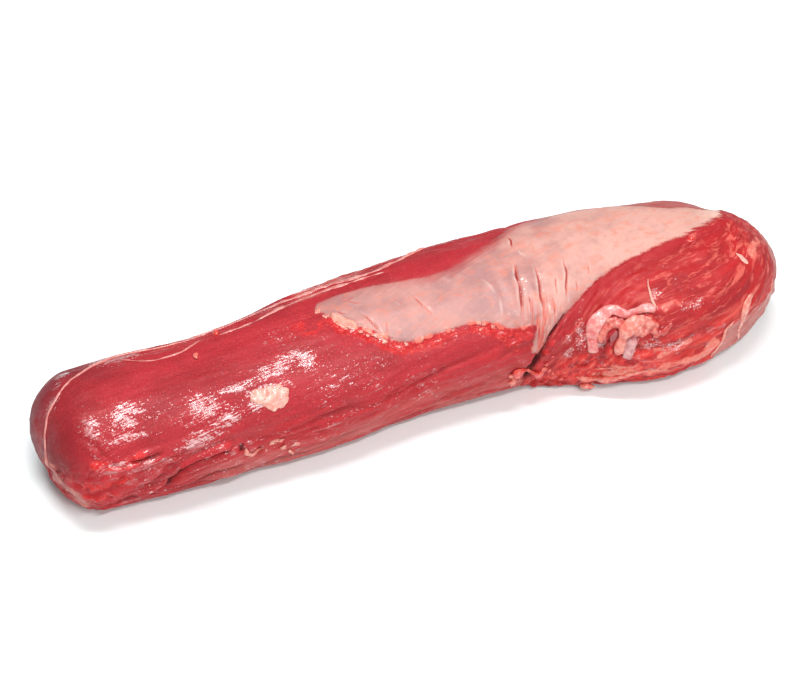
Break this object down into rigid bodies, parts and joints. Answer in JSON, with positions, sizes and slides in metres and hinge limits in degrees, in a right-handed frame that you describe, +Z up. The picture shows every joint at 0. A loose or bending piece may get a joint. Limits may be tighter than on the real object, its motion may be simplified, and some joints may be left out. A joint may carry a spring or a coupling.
{
  "type": "raw beef tenderloin",
  "caption": "Whole trimmed raw beef tenderloin: a long dark red muscle with a silverskin sheet and a rounded head with fat, lying on its flat underside.",
  "frame": {"origin": "middle of the part's box at the height of the flat underside it lies on", "axes": "+X runs from the blunt tail end to the round head end, -Y is the front side where the side muscle bulges out, +Z is up"},
  "size_m": [0.424, 0.108, 0.0703],
  "materials": {
    "meat": "raw lean beef, wet, fine grain along the muscle",
    "silverskin": "pale pearly membrane, wet, finely striated",
    "fat": "soft pinkish cream fat, satin"
  },
  "bodies": {
    "root": {"tenderloin": "meat"}
  },
  "joints": []
}
